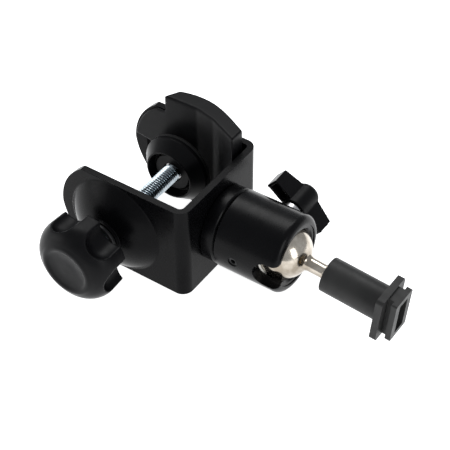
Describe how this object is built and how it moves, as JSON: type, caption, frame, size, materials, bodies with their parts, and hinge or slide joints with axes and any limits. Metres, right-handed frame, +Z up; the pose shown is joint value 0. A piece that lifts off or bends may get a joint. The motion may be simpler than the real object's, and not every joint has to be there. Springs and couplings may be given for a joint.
{
  "type": "umbrella swivel bracket",
  "caption": "U-shaped screw clamp with a V jaw and swivel pad, a lockable ball head on its web, and a grooved shoe foot on the ball's stem.",
  "frame": {"origin": "middle of the web's lower edge, on the edge that the bracket stands on", "axes": "+X from the clamp out along the ball head, +Y from the clamp knob to the jaw, +Z up across the steel strip"},
  "size_m": [0.1498, 0.0983, 0.0545],
  "materials": {
    "black_paint": "semi-gloss black powder coat",
    "black_anodised": "satin black lacquer on turned aluminium",
    "zinc_steel": "bright zinc plate",
    "black_steel": "black oxide",
    "spring_steel": "bare spring steel",
    "nickel": "polished nickel plate",
    "brass": "turned brass",
    "black_plastic": "fine-textured moulded nylon",
    "grey_plastic": "moulded glass-filled nylon",
    "nylon": "natural nylon",
    "rubber": "moulded rubber"
  },
  "bodies": {
    "clamp_frame": {"bracket_frame": "black_paint", "screw_bush": "black_steel", "jaw_block": "black_plastic", "jaw_screw": "zinc_steel", "head_base": "black_anodised", "base_washer": "zinc_steel", "base_screw": "zinc_steel", "pan_washer": "nylon"},
    "clamp_carriage": {"pad_clip": "spring_steel"},
    "clamp_screw_and_knob": {"clamp_screw": "zinc_steel", "clamp_knob": "black_plastic", "knob_insert": "brass"},
    "swivel_pad": {"pad_cup": "black_plastic", "pad_face": "rubber"},
    "head": {"head_housing": "black_anodised", "ball_retainer": "black_anodised", "ball_seat": "nylon", "pan_grub_screw": "black_steel", "lock_collar": "spring_steel"},
    "lock_plunger": {"lock_shoe": "brass"},
    "lock_screw_and_wing": {"lock_stud": "zinc_steel", "wing_knob": "black_plastic"},
    "ball_swing_body": {"ball": "nickel"},
    "stem_tilt_body": {"stem": "nickel"},
    "foot": {"shoe_foot": "grey_plastic", "foot_insert": "brass"}
  },
  "joints": [
    {"name": "clamp_travel", "type": "slide", "parent": "clamp_frame", "child": "clamp_carriage", "axis": [0, 1, 0], "range_m": [-0.03375, 0.0005]},
    {"name": "clamp_screw_turn", "type": "hinge", "parent": "clamp_carriage", "child": "clamp_screw_and_knob", "pos_m": [-0.034, 0, 0.023], "axis": [0, 1, 0], "range_deg": [-9722, 146]},
    {"name": "pad_wobble", "type": "hinge", "parent": "clamp_carriage", "child": "swivel_pad", "pos_m": [-0.034, 0.0162, 0.023], "axis": [0, 0, 1], "range_deg": [-3, 3]},
    {"name": "head_pan", "type": "hinge", "parent": "clamp_frame", "child": "head", "pos_m": [0.0015, 0, 0.023], "axis": [1, 0, 0], "continuous": true},
    {"name": "lock_travel", "type": "slide", "parent": "head", "child": "lock_plunger", "axis": [0, 0.9986, 0.0523], "range_m": [-0.00025, 0.0015]},
    {"name": "lock_turn", "type": "hinge", "parent": "lock_plunger", "child": "lock_screw_and_wing", "pos_m": [0.023, 0, 0.023], "axis": [0, 0.9986, 0.0523], "range_deg": [-91, 541]},
    {"name": "ball_swing", "type": "hinge", "parent": "head", "child": "ball_swing_body", "pos_m": [0.0321, 0, 0.023], "axis": [0, -0.9986, -0.0523], "range_deg": [-33, 33]},
    {"name": "ball_tilt", "type": "hinge", "parent": "ball_swing_body", "child": "stem_tilt_body", "pos_m": [0.0321, 0, 0.023], "axis": [-0.0689, 0.0522, -0.9963], "range_deg": [-36, 86]},
    {"name": "foot_spin", "type": "hinge", "parent": "stem_tilt_body", "child": "foot", "pos_m": [0.0321, 0, 0.023], "axis": [0.9975, -0.0139, -0.0698], "continuous": true}
  ],
  "couplings": [
    {"joint": "clamp_screw_turn", "follows": "clamp_travel", "rad_per_m": 5026.5},
    {"joint": "lock_turn", "follows": "lock_travel", "rad_per_m": 6283.2}
  ]
}
